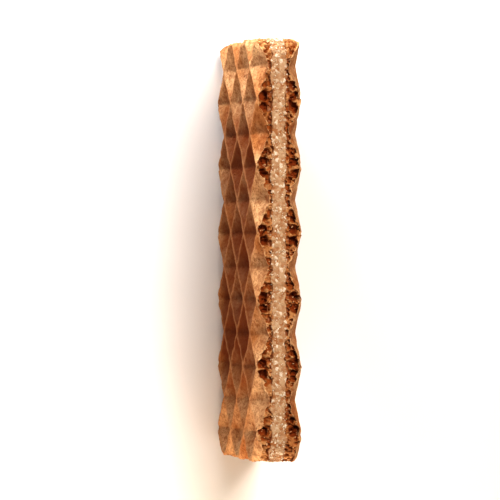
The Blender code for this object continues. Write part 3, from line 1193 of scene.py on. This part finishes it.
def facet_colour(tree, place, specks):
    """Uneven browns under five layers: painted shade in the middle, painted shade and browning in the pits, a
    painted highlight on paler crests, specks, and painted shade in pinholes.
    """
    ridge = read_attribute(tree, "ridge")
    painted_shade = read_attribute(tree, "painted_shade")
    pit_browning_and_shade = add_range(tree, ridge, 0.0, 0.75, 0.85, 0.0)
    shade_in_middle = add_range(tree, painted_shade, 0.0, 0.8, 0.45, 1.0)
    batter = place_group(tree, browning_group, Place=place, **FACET_BROWNS)
    return paint(tree, batter.outputs["Color"], (
        # Painted shade: the middle of the face, reaching nearer to the lower cut, is darkened.
        (add_math(tree, "MULTIPLY", painted_shade, 0.87), PAINTED_SHADE_BROWN),
        # Painted shade down in the pits, partly browning, weaker near the cuts and ends.
        (add_math(tree, "MULTIPLY", pit_browning_and_shade, shade_in_middle), PIT_BROWNING_AND_SHADE),
        # Painted highlight along the ridge crests, partly paler batter.
        (add_range(tree, ridge, 0.9, 0.98, 0.0, 0.45), CREST_HIGHLIGHT_AND_PALE),
        (add_math(tree, "MULTIPLY", specks.outputs["Specks"], 0.6), DARK_SPECK),
        # Painted shade inside the pinholes.
        (add_math(tree, "MULTIPLY", specks.outputs["Pinholes"], 0.75), PINHOLE_SHADE),
    ))


print("pale, middle and dark red of the facets:", [brown[0] for brown in FACET_BROWNS.values()])

# %% [markdown]
# ## The opened crumb
#
# Crumb never touched the iron, so it is golden on the walls between bubbles. Further in it is
# painted darker as painted shade, because little light gets out again. Shadows alone would do
# part of that, but thin walls let light through, so a second and a third brown of painted shade
# follow the depth that the mesh stores. A pale line along the rim is partly the skin's paler edge and partly
# a painted highlight.

# %% Crumb colours
CRUMB_BROWNS = {"Pale": (0.56, 0.285, 0.115), "Middle": (0.42, 0.165, 0.05), "Dark": (0.26, 0.07, 0.016)}
BUBBLE_SHADE = (0.36, 0.108, 0.023)
DEEP_BUBBLE_SHADE = (0.23, 0.045, 0.008)
SKIN_LINE_AND_HIGHLIGHT = (0.68, 0.42, 0.21)


def crumb_colour(tree, place):
    """Uneven browns, covered by a darker brown and then a third one as the crumb lies deeper: painted shade.
    """
    sunk = read_attribute(tree, "sunk")
    walls = place_group(tree, browning_group, Place=place, **CRUMB_BROWNS)
    return paint(tree, walls.outputs["Color"], (
        # Painted shade, deeper in the bubbles.
        (add_range(tree, sunk, 0.15, 0.5), BUBBLE_SHADE),
        (add_range(tree, sunk, 0.35, 0.9), DEEP_BUBBLE_SHADE),
    ))


print("pale, middle and dark red of the crumb:", [brown[0] for brown in CRUMB_BROWNS.values()])

# %% [markdown]
# ## The baked waffle
#
# One material carries both the baked face and the crumb, because they are one mesh and meet
# in a torn line. Two materials would need a hard edge between them. The grain makes the
# surface more or less dull, and with the pinholes it gives the bump.

# %% Baked waffle
baked, tree, shader, place = finish("baked_waffle", 0.8, 0.02)
specks = place_group(tree, specks_group, Place=place, Per_Metre=900.0)
grain = specks.outputs["Grain"]
colour = paint(tree, facet_colour(tree, place, specks), (
    (read_attribute(tree, "open_crumb"), crumb_colour(tree, place)),
    # Pale line along the rim: partly paler skin, partly a painted highlight.
    (add_math(tree, "MULTIPLY", read_attribute(tree, "pale_skin_and_highlight"), 0.6), SKIN_LINE_AND_HIGHLIGHT),
))
feed(tree, shader.inputs["Base Color"], colour)
feed(tree, shader.inputs["Roughness"], add_range(tree, grain, 0.3, 0.7, 0.65, 0.95))
hole_depth = add_math(tree, "MULTIPLY", specks.outputs["Pinholes"], 0.8)
add_bump(tree, shader, add_math(tree, "SUBTRACT", grain, hole_depth), 0.25 * MM, 0.9)
for piece in (left_half, right_half):
    piece.data.materials.append(baked)
print("baked waffle:", len(tree.nodes), "nodes")

# %% [markdown]
# ## Toasted crumbs
#
# Loose crumbs are lighter than the crumb they came from, because light reaches them from
# all sides. They use the same two groups with paler browns, and every crumb has its own
# tone, so that no two beside each other melt into one.

# %% Toasted crumbs
FLAKE_BROWNS = {"Pale": (0.74, 0.47, 0.24), "Middle": (0.60, 0.30, 0.11), "Dark": (0.42, 0.16, 0.045)}
PALE_FLAKE = (0.80, 0.56, 0.33)

toasted, tree, shader, place = finish("toasted_crumbs", 0.75, 0.12)
grain = place_group(tree, specks_group, Place=place, Per_Metre=1200.0).outputs["Grain"]
flakes = place_group(tree, browning_group, Place=place, **FLAKE_BROWNS).outputs["Color"]
paler = add_range(tree, read_attribute(tree, "grain_tone"), 0.5, 1.0, 0.0, 0.6)
feed(tree, shader.inputs["Base Color"], add_mix(tree, paler, flakes, PALE_FLAKE))
feed(tree, shader.inputs["Roughness"], add_range(tree, grain, 0.3, 0.7, 0.6, 0.9))
add_bump(tree, shader, grain, 0.1 * MM, 0.6)
crumbs.data.materials.append(toasted)
print("toasted crumbs:", len(tree.nodes), "nodes")

# %% [markdown]
# ## Sugar in fat
#
# The filling is pale beige with grains of two tones: nearly white where a crystal face
# shows, and tan where crumbs are mixed in. Where the rim lies low, between grains and where
# it sinks into the crumb, it is painted darker as painted shade. Light that wanders inside sugar could be had
# with subsurface scattering, but grains this small lose their edges with it, so the tones are plain colours
# that follow each grain.

# %% Sugar filling
FAT = (0.374, 0.185, 0.081)
SUGAR_GRAIN = (0.497, 0.308, 0.166)
WHITE_GRAIN = (0.69, 0.55, 0.40)
CRUMB_GRAIN = (0.34, 0.135, 0.043)
SHADE_BETWEEN_GRAINS = (0.30, 0.105, 0.033)
SUGAR_SPECK = (0.42, 0.165, 0.055)

sugar, tree, shader, place = finish("sugar_filling", 0.55, 0.25)
specks = place_group(tree, specks_group, Place=place, Per_Metre=1500.0)
tone = read_attribute(tree, "grain_tone")
grains = paint(tree, FAT, (
    (add_range(tree, tone, 0.2, 0.75), SUGAR_GRAIN),
    (add_range(tree, tone, 0.86, 0.9), WHITE_GRAIN),
    (add_range(tree, tone, 0.16, 0.12), CRUMB_GRAIN),
    # Painted shade where the rim lies low between grains and sinks into the crumb.
    (add_range(tree, read_attribute(tree, "grain_height"), 0.15, 0.6, 1.0, 0.0), SHADE_BETWEEN_GRAINS),
    (add_math(tree, "MULTIPLY", specks.outputs["Specks"], 0.5), SUGAR_SPECK),
))
feed(tree, shader.inputs["Base Color"], grains)
feed(tree, shader.inputs["Roughness"], add_range(tree, tone, 0.0, 1.0, 0.75, 0.4))
add_bump(tree, shader, specks.outputs["Grain"], 0.15 * MM, 0.8)
filling.data.materials.append(sugar)
print("sugar filling:", len(tree.nodes), "nodes")

# %% [markdown]
# ## Crystals
#
# Sugar crystals are clear, but at this size they look like pale stones. Glass would need
# many light bounces for the same look. They are opaque and a little glossy, each with its
# own tone, and faint ripples break up the shine, so only a few of them glint.

# %% Crystal
CLOUDY_CRYSTAL = (0.50, 0.31, 0.17)
CLEAR_CRYSTAL = (0.76, 0.63, 0.47)
RIPPLES_PER_METRE = 4000.0

crystal, tree, shader, place = finish("sugar_crystal", 0.3, 0.4)
clearness = add_range(tree, read_attribute(tree, "grain_tone"), 0.35, 1.0)
feed(tree, shader.inputs["Base Color"], add_mix(tree, clearness, CLOUDY_CRYSTAL, CLEAR_CRYSTAL))
ripples = add_noise(tree, place, RIPPLES_PER_METRE)
feed(tree, shader.inputs["Roughness"], add_range(tree, ripples, 0.3, 0.7, 0.15, 0.45))
add_bump(tree, shader, ripples, 0.05 * MM, 0.5)
crystals.data.materials.append(crystal)
print("crystal:", len(tree.nodes), "nodes")

# %% [markdown]
# ## The floor
#
# The cookie stands on a plain, pale, dull sheet. It is far larger than the view, so that no
# edge shows from any side, and it lies a tenth of a millimetre low, so that it never
# flickers against the cut edge that stands on it. Its warm tint makes the bounced light
# warm too.

# %% Floor
FLOOR_SIZE = 4.0
FLOOR_DROP = 0.0001
PAPER = (0.80, 0.74, 0.685)

bpy.ops.mesh.primitive_plane_add(size=FLOOR_SIZE, location=(0.0, 0.0, -FLOOR_DROP))
floor = bpy.context.object
floor.name = "floor"
paper = bpy.data.materials.new("floor")
paper.use_nodes = True
paper_shader = paper.node_tree.nodes["Principled BSDF"]
feed(paper.node_tree, paper_shader.inputs["Base Color"], PAPER)
feed(paper.node_tree, paper_shader.inputs["Roughness"], 0.9)
floor.data.materials.append(paper)
print("floor:", FLOOR_SIZE, "m wide")

# %% [markdown]
# ## Light
#
# A large soft lamp beyond the far end lights the cut edge from above, and another fills in
# from the front. The patterned face would be flat under them, because it looks sideways.
# So two small low lamps stand beside the cookie, a slightly cool one past the far end and a
# weaker, warmer one past the near end: facets that turn to the far end are lit, the others
# fall into shade, and the pits stand out. A weak narrow lamp brightens the facets next to
# the cut. Such lamps would show in the view, so all are hidden from the camera.

# %% Lamps
WHITE = (1.0, 1.0, 1.0)
COOL = (0.78, 0.89, 1.0)
WARM = (1.0, 0.86, 0.68)
WIDE_BEAM = 180.0
NARROW_BEAM = 40.0
COOKIE_MIDDLE = (0.0, 0.0, 0.03)

# Each lamp: name, place, target, width and height, watts, beam in degrees, tint.
LAMPS = (
    ("top_lamp", (0.12, 0.32, 0.70), COOKIE_MIDDLE, (0.32, 0.32), 6.2, WIDE_BEAM, WHITE),
    ("front_lamp", (0.35, -0.45, 0.40), COOKIE_MIDDLE, (0.40, 0.40), 1.0, WIDE_BEAM, WHITE),
    ("far_end_lamp", (-0.043, 0.120, 0.035), (-0.005, 0.03, 0.023), (0.035, 0.035), 0.17, WIDE_BEAM, COOL),
    ("near_end_lamp", (-0.026, -0.125, 0.030), (-0.005, -0.03, 0.022), (0.035, 0.035), 0.10, WIDE_BEAM, WARM),
    ("cut_lamp", (-0.09, 0.0, 0.066), (-0.004, 0.0, 0.050), (0.12, 0.02), 0.005, NARROW_BEAM, WHITE),
)


def add_lamp(name, place, target, size, power, beam, tint):
    """A rectangular lamp that faces its target: tilted by arccos(-z), turned by atan2(y, x) - 90 degrees."""
    lamp = bpy.data.lights.new(name, "AREA")
    lamp.shape = "RECTANGLE"
    lamp.size, lamp.size_y = size
    lamp.energy = power
    lamp.color = tint
    lamp.spread = math.radians(beam)
    holder = bpy.data.objects.new(name, lamp)
    holder.location = place
    holder.visible_camera = False
    forward = np.array(target, float) - np.array(place, float)
    tilt = math.acos(-forward[2] / np.linalg.norm(forward))
    holder.rotation_euler = (tilt, 0.0, math.atan2(forward[1], forward[0]) - math.pi / 2)
    bpy.context.scene.collection.objects.link(holder)


for lamp_values in LAMPS:
    add_lamp(*lamp_values)
print("lamps and their watts:", {values[0]: values[4] for values in LAMPS})

# %% [markdown]
# ## The room and the view
#
# The room gives a faint warm light from all sides, just enough to open the shadows. Crisp
# baking looks best with strong contrast. More lamps could give it, but they would also
# move the shadows, so the view's own gamma and exposure are set instead.

# %% Room and view
ROOM_TINT = (1.0, 0.91, 0.80)
ROOM_STRENGTH = 0.07
VIEW_GAMMA = 0.8
VIEW_EXPOSURE = 0.32

room = bpy.data.worlds.new("room")
room.use_nodes = True
backdrop = room.node_tree.nodes["Background"]
feed(room.node_tree, backdrop.inputs["Color"], ROOM_TINT)
feed(room.node_tree, backdrop.inputs["Strength"], ROOM_STRENGTH)
bpy.context.scene.world = room
view = bpy.context.scene.view_settings
view.view_transform = "Standard"
view.gamma = VIEW_GAMMA
view.exposure = VIEW_EXPOSURE
print("view gamma", VIEW_GAMMA, "and exposure", VIEW_EXPOSURE)
